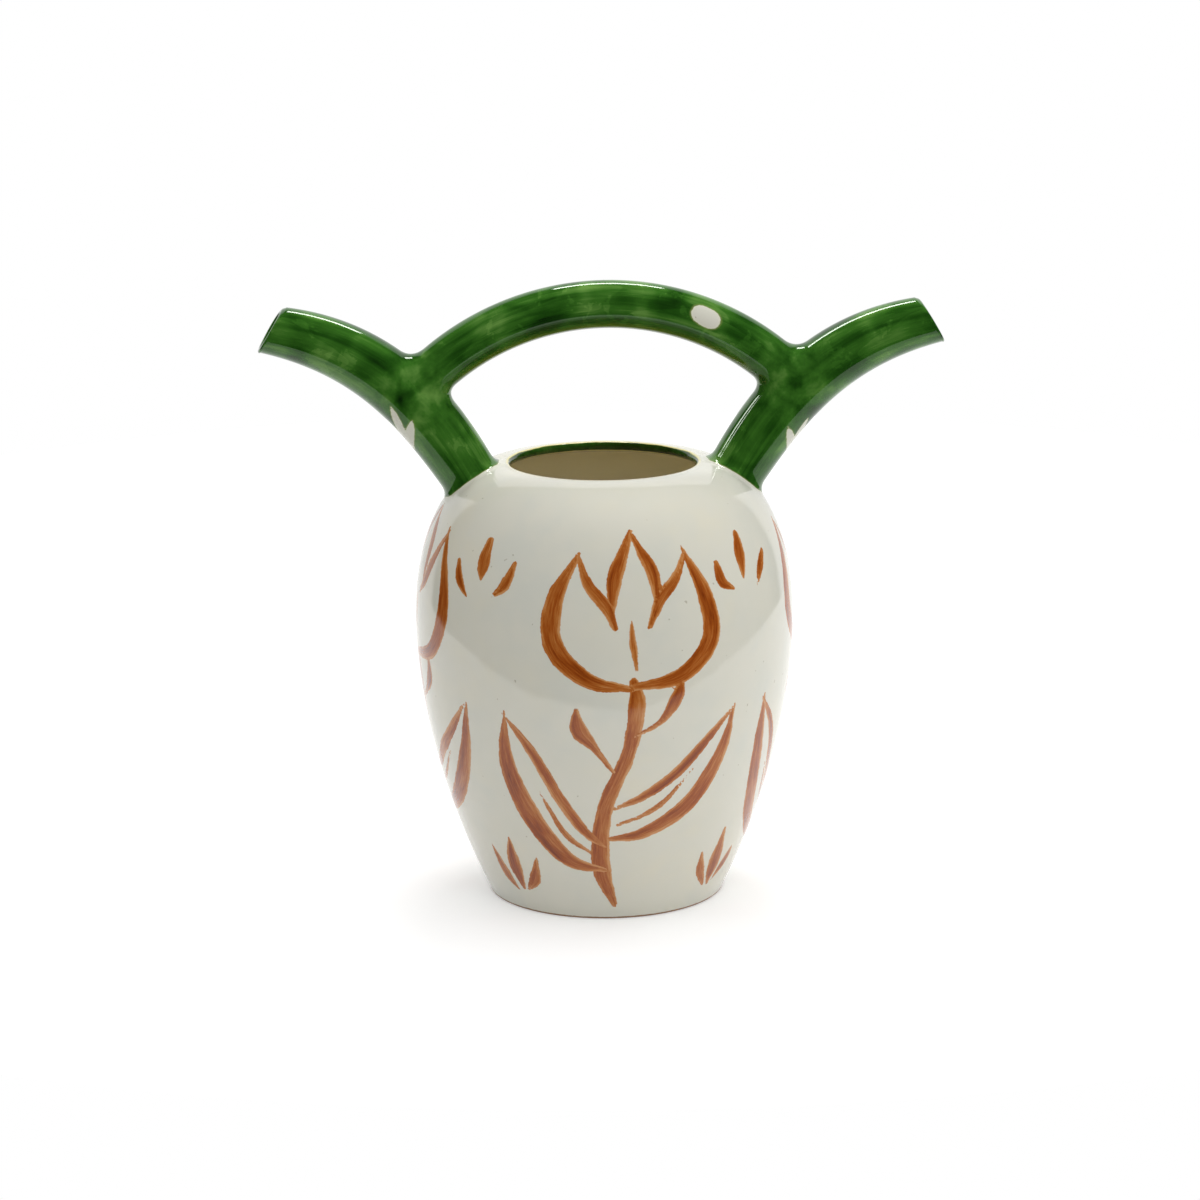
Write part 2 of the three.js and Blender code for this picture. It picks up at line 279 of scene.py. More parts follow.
def bridgeRadius(lengths):
    return np.full(np.shape(lengths), float(bridge["radius"]))


def bridgeBore(lengths):
    return np.full(np.shape(lengths), float(bridge["radius"] - bridge["wall"]))


def meeting(line, radiusAt, angles, low, high, skin, sink=0.0):
    # the length at which each generator of a tube comes out of another piece's skin
    low = np.full(len(angles), float(low))
    high = np.full(len(angles), float(high))
    for _ in range(halvings):
        middle = (low + high) / 2
        under = skin(tubeSkin(line, radiusAt, angles, middle))[2] + sink < 0
        low = np.where(under, middle, low)
        high = np.where(under, high, middle)
    return (low + high) / 2


def luting(line, radiusAt, angles, low, high, skin, legs, rows):
    # the slip fillet at a tube's end: rings from its edge, sunk under the host's skin, up to the tube
    way = 1 if high > low else -1
    lengths = meeting(line, radiusAt, angles, low, high, skin)
    corner = tubeSkin(line, radiusAt, angles, lengths)
    tubeOut = unit(tubeSkin(line, radiusAt, angles, lengths, 1.0) - corner)
    hostOut = skin(corner)[1]
    spread = unit(tubeOut - hostOut * (tubeOut * hostOut).sum(1, keepdims=True))
    uneven = 1 + slip["wave"] * np.sin(angles * 2 + 1) + slip["ripple"] * np.sin(angles * 5)
    legs = (legs * uneven)[:, None]
    reach = legs[:, 0] * slip["curve"]
    landing = skin(corner + spread * legs)[0]
    edge, out, _ = skin(corner + spread * (legs + slip["overlap"]))
    tops = lengths + way * legs[:, 0]
    top = tubeSkin(line, radiusAt, angles, tops)
    rings = [edge - out * slip["sink"]]
    climbs = [np.full(len(angles), slip["edgeClimb"])]
    for share in np.linspace(0, 1, rows + 1)[:-1]:
        rings.append(bezierOf([landing, corner, top], share))
        climbs.append(share * reach)
    return rings, climbs, tops, reach


# Modelling.
def deselectAll():
    bpy.ops.object.select_all(action="DESELECT")


def named(name, smooth=True):
    piece = bpy.context.object
    piece.name = name
    piece.data.name = name
    if smooth:
        bpy.ops.object.shade_smooth()
    return piece


mergeGap = {"spun": 0.01, "tube": 0.002}  # points nearer than this are one, in mm


def spunPiece(name, outline, turns):
    # one point, extruded along the outline and spun round the axis, as a potter's template would
    deselectAll()
    bpy.ops.mesh.primitive_plane_add(size=mm, location=(outline[0, 0] * mm, 0, outline[0, 1] * mm))
    bpy.ops.object.mode_set(mode="EDIT")
    bpy.ops.mesh.merge(type="CENTER")
    for step in np.diff(outline, axis=0):
        bpy.ops.mesh.extrude_region_move(TRANSFORM_OT_translate={"value": (step[0] * mm, 0, step[1] * mm)})
    bpy.ops.object.mode_set(mode="OBJECT")
    bpy.ops.object.transform_apply(location=True, rotation=False, scale=False)
    bpy.ops.object.mode_set(mode="EDIT")
    bpy.ops.mesh.select_all(action="SELECT")
    bpy.ops.mesh.spin(steps=turns, angle=2 * math.pi, center=(0, 0, 0), axis=(0, 0, 1))
    bpy.ops.mesh.select_all(action="SELECT")
    bpy.ops.mesh.remove_doubles(threshold=mergeGap["spun"] * mm)
    bpy.ops.mesh.normals_make_consistent(inside=False)
    bpy.ops.object.mode_set(mode="OBJECT")
    return named(name)


def shapedTube(name, rings, fields):
    # a straight tube is extruded ring by ring, then each ring is set to its place; the last meets the first
    count, around = rings.shape[:2]
    deselectAll()
    bpy.ops.mesh.primitive_circle_add(vertices=around, radius=0.01, location=(0, 0, 0))
    bpy.ops.object.mode_set(mode="EDIT")
    bpy.ops.mesh.select_all(action="SELECT")
    for _ in range(count - 1):
        bpy.ops.mesh.extrude_region_move(TRANSFORM_OT_translate={"value": (0, 0, mm)})
    bpy.ops.object.mode_set(mode="OBJECT")
    mesh = bpy.context.object.data
    straight = np.zeros(len(mesh.vertices) * 3)
    mesh.vertices.foreach_get("co", straight)
    straight = straight.reshape(-1, 3)
    row = np.rint(straight[:, 2] / mm).astype(int)
    column = np.rint(np.arctan2(straight[:, 1], straight[:, 0]) / (2 * math.pi) * around).astype(int) % around
    mesh.vertices.foreach_set("co", (rings[row, column] * mm).ravel())
    for field, values in fields.items():
        attribute = mesh.attributes.new(field, "FLOAT_VECTOR", "POINT")
        attribute.data.foreach_set("vector", np.array(values)[row, column].astype(np.float32).ravel())
    bpy.ops.object.mode_set(mode="EDIT")
    bpy.ops.mesh.select_all(action="SELECT")
    bpy.ops.mesh.remove_doubles(threshold=mergeGap["tube"] * mm)
    bpy.ops.mesh.normals_make_consistent(inside=False)
    bpy.ops.object.mode_set(mode="OBJECT")
    return named(name)


def turnsOf(around):
    return np.arange(around) / around * 2 * math.pi


farOutside = -9.0  # a mark's field where there is no mark
ovalPower = 2.4  # 2 would be an ellipse; more is squarer


def markField(angles, lengths, radii, marks):
    # how far inside a bare mark a place lies, in mm: petals that part from one spot, or an oval
    field = np.full(angles.shape, farOutside)
    for mark in marks:
        turned = (angles - math.radians(mark["angle"]) + math.pi) % (2 * math.pi) - math.pi
        along, across = lengths - mark["length"], turned * radii
        for lean, reach in mark["petals"]:
            heading = math.radians(lean)
            u = along * math.cos(heading) + across * math.sin(heading)
            v = across * math.cos(heading) - along * math.sin(heading)
            share = np.clip(u / reach, 0, 1)
            inside = mark["wide"] * (1 - share**4) - np.abs(v)
            beyond = -np.hypot(u - share * reach, v)
            field = np.maximum(field, np.where((u < 0) | (u > reach), beyond, inside))
        if not mark["petals"]:
            lean = math.radians(mark["lean"])
            u = along * math.cos(lean) + across * math.sin(lean)
            v = across * math.cos(lean) - along * math.sin(lean)
            size = np.abs(u / mark["long"]) ** ovalPower + np.abs(v / mark["wide"]) ** ovalPower
            field = np.maximum(field, (1 - size ** (1 / ovalPower)) * mark["wide"])
    return field


# Bare marks that the green is brushed round: a tuft of petals under each spout and one dot on the arch.
# A petal is its heading, in degrees from the tube's own, and its length.
tufts = {
    -1: [{
        "angle": 190, "length": 54, "wide": 3.4,
        "petals": [(29, 32.5), (54, 23.5), (0, 27), (-31, 31), (-56, 22)],
    }],
    1: [{
        "angle": 189, "length": 48, "wide": 3.1,
        "petals": [(23, 24), (58, 20.5), (-2, 20), (-26, 25), (-58, 21)],
    }],
}
archDot = [{"angle": 289.5, "length": 180, "lean": -9, "long": 8.2, "wide": 5.5, "petals": []}]


def bridgeSkin(spots):
    # how far spots stand off the arch's skin
    place, _, _ = nearestOn(bridgeLine["points"][::4], spots[:, [0, 2]])
    core = np.column_stack([place[:, 0], np.zeros(len(spots)), place[:, 1]])
    return None, None, np.linalg.norm(spots - core, axis=1) - bridge["radius"]


def joinField(rings, skin):
    # 1 where two tubes join, fading along both
    gap = skin(rings.reshape(-1, 3))[2].reshape(rings.shape[:2])
    share = np.clip(1 - (gap - bridge["blendStart"]) / bridge["blend"], 0, 1)
    return np.repeat((share**2 * (3 - 2 * share))[..., None], 3, axis=2)


coatEdge = 0.62  # how far up a foot's fillet the green ends, in shares of its size


def spoutPiece(side, name):
    angles = turnsOf(spout["around"])
    rows = []

    def addRow(ring, *fields):
        # the fields: the climb from the foot's edge, the length along, the radius, the depth in the bore
        rows.append([ring, *(np.broadcast_to(field, angles.shape) for field in fields)])

    foot, climbs, tops, reach = luting(
        spoutLine, spoutRadius, angles, 0, spoutLine["length"] / 2, potSkin,
        np.full(len(angles), spout["fillet"]), spout["filletRows"],
    )
    for ring, climb in zip(foot, climbs):
        lengths = tops - reach + climb
        addRow(ring, climb, lengths, spoutRadius(lengths), 0)

    lipSize = spout["wall"] / 2
    end = spoutLine["length"] - lipSize
    for share in np.linspace(0, 1, spout["rows"]):
        lengths = tops + (end - tops) * share
        climb = reach + lengths - tops
        leant = slanted(angles, lengths, spoutRadius(lengths))
        addRow(tubeSkin(spoutLine, spoutRadius, angles, leant), climb, lengths, spoutRadius(lengths), 0)

    def endRadius(_):
        return spoutRadius(end)

    for turn in np.linspace(0, math.pi, spout["lipRows"] + 1)[1:-1]:
        lift = lipSize * (math.cos(turn) - 1)
        lengths = np.full(len(angles), end + lipSize * math.sin(turn))
        climb = climb + lipSize * spout["lipClimb"]
        deep = max(0.0, lipSize * (turn - math.pi / 2))
        radius = spoutRadius(lengths) + lift
        leant = slanted(angles, lengths, radius)
        addRow(tubeSkin(spoutLine, endRadius, angles, leant, lift), climb, lengths, radius, deep)

    feet = meeting(spoutLine, boreRadius, angles, 0, spoutLine["length"] / 2, potSkin, slip["sink"])
    for share in np.linspace(0, 1, spout["boreRows"]):
        lengths = end + (feet - end) * share
        deep = lipSize * spout["lipDepth"] + end - lengths
        leant = slanted(angles, lengths, boreRadius(lengths))
        addRow(tubeSkin(spoutLine, boreRadius, angles, leant), climb, lengths, boreRadius(lengths), deep)

    rows.append(rows[0])
    rings, climbs, along, radii, depth = (np.array(column) for column in zip(*rows))
    every = np.broadcast_to(angles, climbs.shape)
    marks = markField(every, along, radii, tufts[side])
    marks = np.where(depth > 0, farOutside, marks)
    rings = rings * np.array([side, 1, 1])
    grain = np.stack([radii * np.cos(every), radii * np.sin(every), along], -1)
    coat = np.stack([climbs - spout["fillet"] * coatEdge, marks, depth], -1)
    join = joinField(rings, bridgeSkin)
    return shapedTube(name, rings, {"grain": grain, "coat": coat, "join": join})


def forkLegs(angles):
    # the slip is pooled in the notch above and smoothed out wide in front and behind
    level = bridge["fillet"] + (bridge["notchFillet"] - bridge["fillet"]) * (1 + np.cos(angles)) / 2
    return level + (bridge["sideFillet"] - level) * np.sin(angles) ** 2


allCoated = 30.0  # how far from a border of the green the bridge lies, mm
bridgeGrain = 70  # the bridge's streaks come from another part of the noise


def bridgePiece(name):
    angles = turnsOf(bridge["around"])
    whole = bridgeLine["length"]
    legs = forkLegs(angles)

    def fork(side, start):
        skin = spoutSkin(side)
        return luting(bridgeLine, bridgeRadius, angles, start, whole / 2, skin, legs, bridge["filletRows"])

    left, leftClimb, leftTops, leftReach = fork(-1, 0)
    right, rightClimb, rightTops, rightReach = fork(1, whole)
    rows = []
    for ring, climb in zip(left, leftClimb):
        rows.append((ring, leftTops - leftReach + climb, bridgeRadius(climb)))
    for share in np.linspace(0, 1, bridge["rows"]):
        lengths = leftTops + (rightTops - leftTops) * share
        rows.append((tubeSkin(bridgeLine, bridgeRadius, angles, lengths), lengths, bridgeRadius(lengths)))
    for ring, climb in zip(right[::-1], rightClimb[::-1]):
        rows.append((ring, rightTops + rightReach - climb, bridgeRadius(climb)))
    ends = [
        meeting(bridgeLine, bridgeBore, angles, start, whole / 2, spoutSkin(side), slip["sink"])
        for start, side in ((0, -1), (whole, 1))
    ]
    for share in np.linspace(1, 0, bridge["boreRows"]):
        lengths = ends[0] + (ends[1] - ends[0]) * share
        rows.append((tubeSkin(bridgeLine, bridgeBore, angles, lengths), lengths, bridgeBore(lengths)))
    rows.append(rows[0])
    rings, along, radii = (np.array(column) for column in zip(*rows))
    every = np.broadcast_to(angles, along.shape)
    grain = np.stack([radii * np.cos(every), radii * np.sin(every) + bridgeGrain, along], -1)
    marks = markField(every, along, radii, archDot)
    coat = np.stack([np.full(along.shape, allCoated), marks, np.zeros(along.shape)], -1)
    join = np.maximum(joinField(rings, spoutSkin(-1)), joinField(rings, spoutSkin(1)))
    return shapedTube(name, rings, {"grain": grain, "coat": coat, "join": join})


port = {
    "start": -2, "end": 44,  # along the spout's line, mm
    "point": 0.01,  # radius of the drill's two ends, mm
    "rows": 24, "around": 48,
}


def cutPorts(piece):
    # the spouts' bores run on through the shoulder, cut with a drill of their shape
    angles = turnsOf(port["around"])

    def drillRing(radiusAt, length):
        return tubeSkin(spoutLine, radiusAt, angles, np.full(len(angles), float(length)))

    def drillPoint(_):
        return port["point"]

    for side in (-1, 1):
        rings = [drillRing(drillPoint, port["start"])]
        for length in np.linspace(port["start"], port["end"], port["rows"]):
            rings.append(drillRing(boreRadius, length))
        rings += [drillRing(drillPoint, port["end"]), rings[0]]
        drill = shapedTube("drill", np.array(rings) * np.array([side, 1, 1]), {})
        cut = piece.modifiers.new("port", "BOOLEAN")
        cut.operation = "DIFFERENCE"
        cut.solver = "EXACT"
        cut.object = drill
        deselectAll()
        piece.select_set(True)
        bpy.context.view_layer.objects.active = piece
        bpy.ops.object.modifier_apply(modifier=cut.name)
        bpy.data.objects.remove(drill)


potPiece = spunPiece("pot_glazed", potOutline(), pot["turns"])
cutPorts(potPiece)
print("pot:", len(potPiece.data.polygons), "faces")
leftSpout = spoutPiece(-1, "left_spout_glazed")
rightSpout = spoutPiece(1, "right_spout_glazed")
bridgeGlazed = bridgePiece("bridge_glazed")
print("tubes:", [len(piece.data.polygons) for piece in (leftSpout, rightSpout, bridgeGlazed)], "faces")

# The brushed ornament: open flowers on leafy stems.
ornament = {
    "sprays": 4,
    "layers": 3,
    "turn": 5.0,  # how far the front spray stands to the right, mm
    "press": 1.0,  # how hard the brush is pressed
    "waver": 1.1,  # how far a stroke's points stray from one spray to the next, mm
    "lightest": 0.92, "heaviest": 1.1,  # how the strokes' widths vary
    "reach": 9.0, "margin": 4,  # how far round a stroke its field is kept, and what more is searched, mm
    "radius": 100,  # the strokes are drawn on a cylinder of this radius
    "lipEdge": 4,  # no paint nearer than this to the rim, mm
    "skin": 1.0,  # a point this near to the wall's outside is on it, mm
    "thinnest": 0.8,  # a stroke's share across is never measured against less than this, mm
    "widest": 1.5,  # nor does the share grow beyond this
    "gap": 41.0,  # parts the bristle marks of one stroke from those of the next
}


def wallRadius(height):
    return np.interp(height, outsideToCrest[:, 1], outsideToCrest[:, 0])


def onPot(u, v):
    # u is mm round the cylinder that the strokes are drawn on, v is the height
    turn = u / ornament["radius"] - math.pi / 2
    radius = wallRadius(v)
    return np.stack([radius * np.cos(turn), radius * np.sin(turn), v], -1)


def flowing(points, spacing=2.0):
    # a smooth line through a few points of place and width: a Catmull-Rom curve
    points = np.array(points, float)
    padded = np.vstack([2 * points[0] - points[1], points, 2 * points[-1] - points[-2]])
    made = []
    for i in range(len(points) - 1):
        a, b, c, d = padded[i : i + 4]
        count = max(2, int(np.linalg.norm((c - b)[:2]) / spacing))
        t = np.linspace(0, 1, count, endpoint=False)[:, None]
        bend = (2 * a - 5 * b + 4 * c - d) * t**2 + (3 * b - a - 3 * c + d) * t**3
        made.append(0.5 * (2 * b + (c - a) * t + bend))
    return np.vstack([*made, points[-1:]])


# A stroke is its layer and its points: mm round the pot, height and width.
sprayStrokes = [
    (0, [(-4, 9, 3), (-13, 34, 10), (-11, 70, 9), (2, 104, 8.5), (7, 134, 10), (4, 147, 5)]),
    (1, [(4, 143, 4), (-20, 150, 10), (-36, 169, 12.5), (-35, 194, 10.5), (-24, 218, 2)]),
    (2, [(-25, 216, 1.5), (-16, 201, 6), (-9, 188, 7), (-3, 177, 3)]),
    (1, [(6, 143, 4), (31, 149, 9), (46, 168, 11), (45, 192, 9), (35, 219, 1.5)]),
    (2, [(35, 217, 1.5), (28, 202, 5.5), (20, 189, 6.5), (12, 178, 2.5)]),
    (1, [(-7, 186, 3), (-5, 205, 8), (5, 226, 2)]),
    (2, [(6, 226, 2), (16, 207, 7.5), (18, 189, 2.5)]),
    (0, [(5, 155, 2), (5, 168, 4.5), (6, 181, 1.5)]),
    (1, [(-13, 32, 3), (-36, 40, 9), (-56, 62, 12.5), (-67, 96, 10), (-66, 127, 1.5)]),
    (2, [(-66, 126, 1.5), (-51, 104, 6.5), (-38, 78, 7.5), (-24, 58, 6), (-12, 48, 2)]),
    (0, [(-16, 42, 1.5), (-34, 58, 3.6), (-49, 82, 1.2)]),
    (1, [(-11, 54, 3), (14, 56, 8), (40, 72, 11.5), (58, 98, 9.5), (64, 128, 1.5)]),
    (2, [(64, 127, 1.5), (47, 110, 6), (30, 92, 7), (12, 80, 5.5), (-6, 74, 2)]),
    (0, [(-4, 64, 1.5), (20, 74, 3.4), (40, 94, 1.2)]),
    (1, [(-6, 96, 2), (-17, 107, 4.5), (-24, 120, 9.5), (-25, 134, 1.5)]),
    (1, [(6, 116, 2), (20, 124, 4), (29, 135, 8.5), (31, 146, 1.5)]),
    (0, [(74, 196, 1.5), (75, 208, 8), (77, 220, 4)]),
    (1, [(66, 190, 1.5), (58, 198, 6.5), (55, 206, 3)]),
    (2, [(84, 191, 1.5), (92, 199, 6.5), (96, 207, 3)]),
    (0, [(78, 14, 2), (78, 30, 9), (79, 48, 1.5)]),
    (1, [(73, 14, 1.5), (65, 25, 6.5), (60, 38, 1.2)]),
    (2, [(83, 14, 1.5), (92, 25, 6.5), (98, 37, 1.2)]),
]


def allStrokes():
    # the same spray is painted again round the pot, by a hand that never repeats itself quite
    hand = np.random.default_rng(7)
    gap = 2 * math.pi * ornament["radius"] / ornament["sprays"]
    strokes = []
    for i in range(ornament["sprays"]):
        for layer, points in sprayStrokes:
            drawn = np.array(points, float)
            drawn[:, :2] += hand.normal(0, ornament["waver"], (len(points), 2))
            drawn[:, 0] += i * gap + ornament["turn"]
            drawn[:, 2] *= hand.uniform(ornament["lightest"], ornament["heaviest"]) * ornament["press"]
            strokes.append((layer, drawn))
    return strokes


def strokeField(spots, outward, points):
    # Which spots lie near a stroke, and three numbers for each: how far inside the stroke it is, its
    # share of the way across, and the length along.
    line = flowing(points)
    path = onPot(line[:, 0], line[:, 1])
    half = line[:, 2] / 2
    room = ornament["reach"] + ornament["margin"]
    near = np.flatnonzero(((spots > path.min(0) - room) & (spots < path.max(0) + room)).all(1))
    runs = np.diff(path, axis=0)
    sizes = np.linalg.norm(runs, axis=1)
    away = spots[near][:, None] - path[None, :-1]
    raw = (away * runs).sum(-1) / sizes**2
    share = np.clip(raw, 0, 1)
    gaps = away - share[..., None] * runs
    pick = np.linalg.norm(gaps, axis=-1).argmin(1)
    row = np.arange(len(near))
    share, raw, gap = share[row, pick], raw[row, pick], gaps[row, pick]
    side = np.cross(outward[near], runs[pick] / sizes[pick][:, None])
    across = (gap * side).sum(1)
    reached = np.concatenate([[0], np.cumsum(sizes)])[pick] + share * sizes[pick]
    width = half[pick] + (half[pick + 1] - half[pick]) * share
    # beyond a stroke's end the width closes in a round tip
    over = np.abs(raw - share) * sizes[pick]
    tip = np.sqrt(np.maximum(width**2 - over**2, 0)) - np.maximum(over - width, 0)
    width = np.where(over > 0, tip, width)
    spread = across / np.maximum(width, ornament["thinnest"])
    spread = np.clip(spread, -ornament["widest"], ornament["widest"])
    return near, np.column_stack([width - np.abs(across), spread, reached])


creamFrom = {"wall": 2, "foot": 5, "rim": 2}  # how far in from these the inner wall's cream glaze starts, mm


def paintStrokes(piece, strokes):
    # each layer keeps the three numbers of the stroke that a point lies deepest in
    count = len(piece.data.vertices)
    places = np.zeros(count * 3)
    piece.data.vertices.foreach_get("co", places)
    places = places.reshape(-1, 3) / mm
    radius = np.hypot(places[:, 0], places[:, 1])
    height = places[:, 2]
    onWall = np.abs(radius - wallRadius(height)) < ornament["skin"]
    outer = np.flatnonzero(onWall & (height < pot["rim"] - ornament["lipEdge"]))
    spots = places[outer]
    outward = spots / radius[outer][:, None]
    outward[:, 2] = 0
    unpainted = [-ornament["reach"], 0.0, 0.0]
    fields = np.tile(unpainted, (ornament["layers"], len(spots), 1))
    for number, (layer, points) in enumerate(strokes):
        near, found = strokeField(spots, outward, points)
        found[:, 2] += number * ornament["gap"]
        better = found[:, 0] > fields[layer, near, 0]
        fields[layer, near[better]] = found[better]
    for layer in range(ornament["layers"]):
        full = np.tile(unpainted, (count, 1))
        full[outer] = fields[layer]
        attribute = piece.data.attributes.new(f"stroke{layer}", "FLOAT_VECTOR", "POINT")
        attribute.data.foreach_set("vector", full.astype(np.float32).ravel())
    # the inner wall is marked too
    inner = (radius < wallRadius(height) - creamFrom["wall"]) & (height > creamFrom["foot"])
    inner = inner & (height < pot["rim"] - creamFrom["rim"])
    attribute = piece.data.attributes.new("within", "FLOAT_VECTOR", "POINT")
    attribute.data.foreach_set("vector", np.repeat(inner.astype(np.float32), 3))


strokes = allStrokes()
paintStrokes(potPiece, strokes)
print("ornament:", len(strokes), "strokes")


# Materials. Lengths in them are millimetres.
class Wire:
    # an output of a node, which can stand in an expression
    def __init__(self, tree, socket=None):
        self.tree = tree
        self.socket = socket

    def make(self, kind, settings=None, sockets=None, output=0):
        node = self.tree.nodes.new("ShaderNode" + kind)
        for name, value in (settings or {}).items():
            if name == "stops":
                elements = node.color_ramp.elements
                for spot, _ in value[len(elements):]:
                    elements.new(spot)
                for element, (spot, color) in zip(elements, sorted(value)):
                    element.position = spot
                    element.color = color
            else:
                setattr(node, name, value)
        for key, value in (sockets or {}).items():
            if isinstance(value, Wire):
                self.tree.links.new(value.socket, node.inputs[key])
            else:
                node.inputs[key].default_value = value
        return Wire(self.tree, node.outputs[output] if node.outputs else None)

    def maths(self, operation, *values):
        return self.make("Math", {"operation": operation}, dict(enumerate(values)))

    def __add__(self, other):
        return self.maths("ADD", self, other)

    def __radd__(self, other):
        return self.maths("ADD", other, self)

    def __sub__(self, other):
        return self.maths("SUBTRACT", self, other)

    def __rsub__(self, other):
        return self.maths("SUBTRACT", other, self)

    def __mul__(self, other):
        return self.maths("MULTIPLY", self, other)

    def __rmul__(self, other):
        return self.maths("MULTIPLY", other, self)

    def __pow__(self, other):
        return self.maths("POWER", self, other)

    def __abs__(self):
        return self.maths("ABSOLUTE", self)

    def atMost(self, other):
        return self.maths("MINIMUM", self, other)

    def atLeast(self, other):
        return self.maths("MAXIMUM", self, other)

    def step(self, low, high):
        # 0 below low, 1 above high, smooth between; low may be the greater
        flip = low > high
        ends = {
            "Value": self, "From Min": min(low, high), "From Max": max(low, high),
            "To Min": float(flip), "To Max": float(not flip),
        }
        return self.make("MapRange", {"interpolation_type": "SMOOTHSTEP"}, ends)

    def over(self, below, above):
        # this mask lays one colour over another
        return self.make("Mix", {"data_type": "RGBA"}, {0: self, 6: below, 7: above}, 2)

    def scaled(self, x, y, z):
        return self.make("VectorMath", {"operation": "MULTIPLY"}, {0: self, 1: (x, y, z)})

    def moved(self, x, y, z):
        return self.make("VectorMath", {"operation": "ADD"}, {0: self, 1: (x, y, z)})

    def parts(self):
        node = self.make("SeparateXYZ", {}, {0: self})
        outputs = node.socket.node.outputs
        return [Wire(self.tree, outputs[k]) for k in range(3)]

    def noise(self, scale, detail=2.0, roughness=0.5, distortion=0.0):
        sockets = {"Scale": scale, "Detail": detail, "Roughness": roughness, "Distortion": distortion}
        return self.make("TexNoise", {}, {"Vector": self, **sockets})


def shade(r, g, b):
    # a colour as a picture shows it, 0 to 255, made linear
    values = [c / 255 for c in (r, g, b)]
    return (*[c / 12.92 if c <= 0.04045 else ((c + 0.055) / 1.055) ** 2.4 for c in values], 1.0)


def attributeOf(wire, name):
    return wire.make("Attribute", {"attribute_name": name}, {}, "Vector")


def millimetres(wire):
    # the place on the object
    return wire.make("TexCoord", {}, {}, "Object").scaled(1 / mm, 1 / mm, 1 / mm)


def newMaterial(name):
    material = bpy.data.materials.new(name)
    material.use_nodes = True
    material.node_tree.nodes.clear()
    return material, Wire(material.node_tree)


glaze = {
    "ior": 1.48,
    "whiteSheen": (1, 1, 1, 1), "greenSheen": (0.86, 1.0, 0.8, 1),
    "gloss": 0.05, "tubeGloss": 0.03,  # roughness where the glaze is at its smoothest
    "bareRough": 0.55, "boreRough": 0.4,  # how much rougher bare clay is
}


def finishMaterial(wire, color, roughness, height, sheen):
    # glossy glaze over clay: a clear skin whose small unevenness, in mm, bends the reflections
    bump = wire.make("Bump", {}, {"Strength": 1.0, "Distance": mm, "Height": height})
    surface = wire.make("BsdfPrincipled", {}, {
        "Base Color": color, "Roughness": roughness, "Normal": bump,
        "IOR": glaze["ior"], "Specular Tint": sheen,
    })
    wire.make("OutputMaterial", {}, {"Surface": surface})


whiteTones = {
    "main": shade(225, 223, 209), "cool": shade(220, 220, 208), "warm": shade(228, 224, 206),
    "speck": shade(150, 138, 110), "round marks": shade(232, 234, 200),
    "inside": shade(250, 240, 208), "lip edge": shade(230, 218, 132),
}
rustTones = {
    "dark": shade(112, 42, 4), "main": shade(162, 80, 22),
    "light": shade(186, 112, 50), "watery": shade(208, 150, 96),
}
greenTones = {
    "dark": shade(12, 42, 6), "main": shade(32, 78, 16),
    "light": shade(56, 108, 32), "pale": shade(104, 150, 68),
    "thin": shade(150, 160, 92), "olive": shade(92, 114, 14), "dark olive": shade(32, 42, 4),
}
clayTones = {"dark": shade(134, 96, 66), "light": shade(170, 134, 100)}
speckSize = (0.868, 0.883)  # closer to 1 gives fewer and smaller specks


def whiteCoat(place):
    # ivory glaze: faint clouds and a few iron specks
    cloud = place.noise(0.018, 3.0, 0.55)
    color = cloud.step(0.35, 0.7).over(whiteTones["cool"], whiteTones["warm"])
    color = place.moved(40, 7, 0).noise(0.05, 2.0).step(0.3, 0.7).over(color, whiteTones["main"])
    speck = place.noise(0.42, 0.0).step(*speckSize) * 0.45
    return speck.over(color, whiteTones["speck"])


def greenCoat(grain, place, join):
    # copper glaze brushed along the tubes: soft pools, streaks and a few laps, dabbed every way at the joints
    pool = place.moved(20, 9, 7).noise(0.035, 2.0, 0.5, 0.6)
    dab = place.moved(3, 60, 11).noise(0.085, 3.0, 0.55, 0.2)
    streak = grain.scaled(1.0, 1.0, 0.1).noise(0.13, 3.0, 0.55, 0.3)
    fine = grain.scaled(1.0, 1.0, 0.05).moved(9, 3, 2).noise(0.8, 3.0, 0.6)
    lap = grain.scaled(1.0, 1.0, 0.4).moved(3, 5, 40).noise(0.05, 1.0, 0.4, 0.8)
    hair = grain.scaled(1.0, 1.0, 0.03).moved(5, 8, 3).noise(1.6, 2.0, 0.5).step(0.6, 0.72)
    smear = place.moved(50, 4, 90).noise(0.055, 4.0, 0.65, 0.5).step(0.585, 0.62)
    marks = lap.step(0.53, 0.555) * 0.06 + hair * 0.06 + smear * 0.07
    brushed = streak * 0.62 + fine * 0.12 + marks
    joined = dab * 0.75 + fine * 0.06
    body = brushed + (joined - brushed) * join + pool * 0.62
    stops = [
        (0.46, greenTones["dark"]), (0.94, greenTones["pale"]),
        (0.62, greenTones["main"]), (0.76, greenTones["light"]),
    ]
    return body.make("ValToRGB", {"stops": stops}, {"Fac": body}), body


